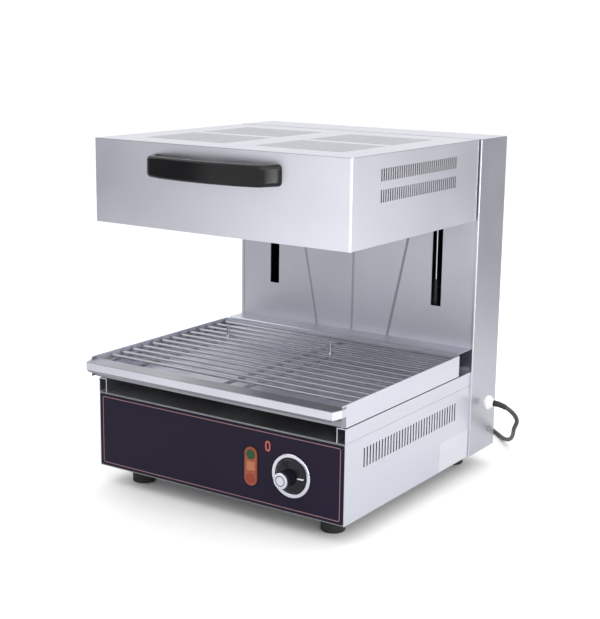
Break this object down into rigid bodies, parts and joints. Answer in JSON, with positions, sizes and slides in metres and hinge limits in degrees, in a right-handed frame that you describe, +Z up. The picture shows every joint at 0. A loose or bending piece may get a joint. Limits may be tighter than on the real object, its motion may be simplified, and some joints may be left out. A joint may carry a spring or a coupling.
{
  "type": "lift salamander grill",
  "caption": "Countertop electric grill: a radiant hood rises and falls on a rear column above a sliding drip tray with a wire grid; dial and lamps in front.",
  "frame": {"origin": "middle of the footprint on the surface that the feet stand on", "axes": "+X to the right of someone who faces the control panel, +Y to the back, +Z up"},
  "size_m": [0.5058, 0.6933, 0.54],
  "materials": {
    "stainless": "fine satin",
    "steel_dull": "plain mill finish",
    "reflector": "bright, smooth",
    "panel_film": "smooth printed film",
    "black_rubber": "matte",
    "black_gloss": "glossy",
    "black_satin": "satin",
    "black_paint": "gloss black",
    "chrome": "bright",
    "zinc": "zinc plated",
    "element": "dark oxide",
    "ceramic": "unglazed",
    "wool": "mineral fibre",
    "lamp_green": "clear gloss",
    "lamp_orange": "clear gloss",
    "lamp_marker": "clear gloss",
    "lamp_frame": "clear gloss",
    "white_plastic": "satin",
    "bearing": "machined plastic",
    "regulator": "moulded",
    "cord": "satin"
  },
  "bodies": {
    "base": {"base_floor": "steel_dull", "base_side_left": "stainless", "base_side_right": "stainless", "inner_deck": "steel_dull", "control_panel": "steel_dull", "panel_film": "panel_film", "tray_rail_left": "stainless", "tray_rail_right": "stainless", "tray_runners": "black_satin", "feet": "black_rubber", "foot_screws": "zinc", "lamp_frame": "lamp_frame", "lamp_green": "lamp_green", "lamp_orange": "lamp_orange", "lamp_marker": "lamp_marker", "dial_ring": "chrome", "regulator": "regulator", "regulator_nut": "zinc", "terminal_block": "ceramic", "column_side_left": "stainless", "column_side_right": "stainless", "column_face": "stainless", "rear_ledge": "stainless", "column_top": "stainless", "column_back": "steel_dull", "lower_crossbar": "steel_dull", "upper_crossbar": "steel_dull", "guide_rods": "chrome", "rod_sockets": "steel_dull", "stop_sleeves": "steel_dull", "stop_rings": "black_rubber", "strut_cylinders": "black_paint", "column_screws": "zinc", "gland_nut": "white_plastic", "cable_gland": "white_plastic", "power_cord": "cord", "cord_coil": "cord", "plug_body": "black_satin", "plug_pins": "chrome"},
    "hood": {"hood_shell": "stainless", "hood_top": "stainless", "hood_rear": "stainless", "hood_liner": "reflector", "insulation": "wool", "heating_elements": "element", "element_hangers": "steel_dull", "element_insulators": "ceramic", "handle": "black_gloss", "handle_screws": "zinc", "lift_arm_left": "steel_dull", "lift_arm_right": "steel_dull", "carriage_plate": "steel_dull", "bearing_blocks": "bearing", "strut_rods": "chrome", "strut_nuts": "zinc"},
    "tray": {"drip_tray": "stainless"},
    "grid": {"wire_grid": "chrome"},
    "knob": {"knob": "black_gloss", "knob_cap": "chrome", "regulator_shaft": "zinc"}
  },
  "joints": [
    {"name": "hood_lift", "type": "slide", "parent": "base", "child": "hood", "axis": [0, 0, 1], "range_m": [-0.18, 0]},
    {"name": "tray_slide", "type": "slide", "parent": "base", "child": "tray", "axis": [0, -1, 0], "range_m": [0, 0.2]},
    {"name": "grid_lift", "type": "slide", "parent": "tray", "child": "grid", "axis": [0, 0, 1], "range_m": [0, 0.025]},
    {"name": "knob_turn", "type": "hinge", "parent": "base", "child": "knob", "pos_m": [0.1375, -0.2109, 0.087], "axis": [0, 1, 0], "range_deg": [-140, 160]}
  ]
}
